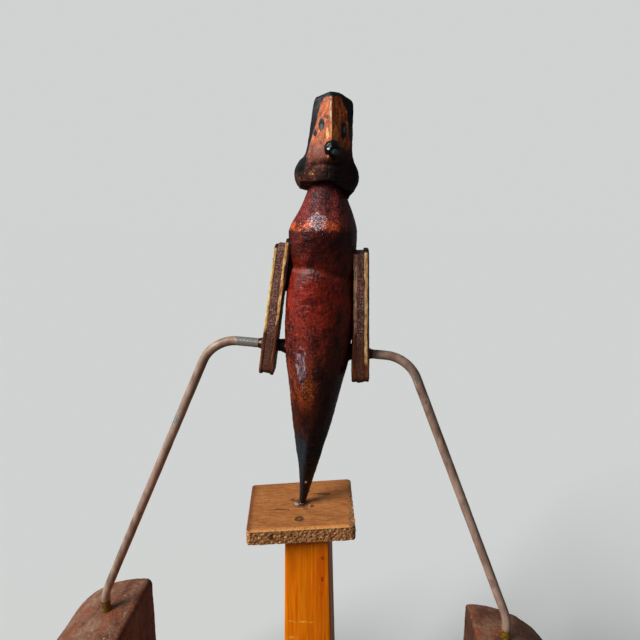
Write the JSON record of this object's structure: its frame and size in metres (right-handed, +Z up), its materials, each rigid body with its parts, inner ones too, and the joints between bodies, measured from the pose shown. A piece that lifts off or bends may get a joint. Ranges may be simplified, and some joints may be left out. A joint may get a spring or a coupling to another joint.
{
  "type": "balancing kinetic sculpture",
  "caption": "Carved wooden figure on a pointed foot, balanced on a pedestal by wooden weights at the ends of one bent wire; it rocks every way and spins.",
  "frame": {"origin": "centre of the base's underside, straight below the pivot", "axes": "+Z up the post; +X along the balance wire, to the figure's side that is on the right in a front view; the figure faces -Y"},
  "size_m": [0.2467, 0.1, 0.3333],
  "materials": {
    "base_wood": "gloss",
    "plain_steel": "satin",
    "post_pine": "gloss",
    "platform_wood": "satin",
    "nail_steel": "matte",
    "cup_steel": "satin",
    "tip_steel": "polished",
    "body_wood": "gloss",
    "dowel_wood": "matte",
    "head_wood": "gloss",
    "nose_black": "gloss",
    "arm_ply": "satin",
    "collar_black": "matte",
    "wire_steel": "satin",
    "weight_wood": "satin"
  },
  "bodies": {
    "stand": {"base_block": "base_wood", "base_screws": "plain_steel", "post": "post_pine", "platform": "platform_wood", "platform_nails": "nail_steel"},
    "cup": {"pivot_cup": "cup_steel"},
    "ball": {"pivot_ball": "tip_steel"},
    "figure": {"foot_pin": "plain_steel", "figure_body": "body_wood", "neck_dowel": "dowel_wood", "head": "head_wood", "nose": "nose_black", "left_arm": "arm_ply", "right_arm": "arm_ply", "left_collar": "collar_black", "right_collar": "collar_black", "balance_wire": "wire_steel", "left_weight": "weight_wood", "right_weight": "weight_wood"}
  },
  "joints": [
    {"name": "spin", "type": "hinge", "parent": "stand", "child": "cup", "pos_m": [0, 0, 0.16995], "axis": [0, 0, 1], "continuous": true},
    {"name": "rock_side", "type": "hinge", "parent": "cup", "child": "ball", "pos_m": [0, 0, 0.16995], "axis": [0, 1, 0], "range_deg": [-20, 20]},
    {"name": "rock_fore", "type": "hinge", "parent": "ball", "child": "figure", "pos_m": [0, 0, 0.16995], "axis": [1, 0, 0], "range_deg": [-20, 20]}
  ]
}
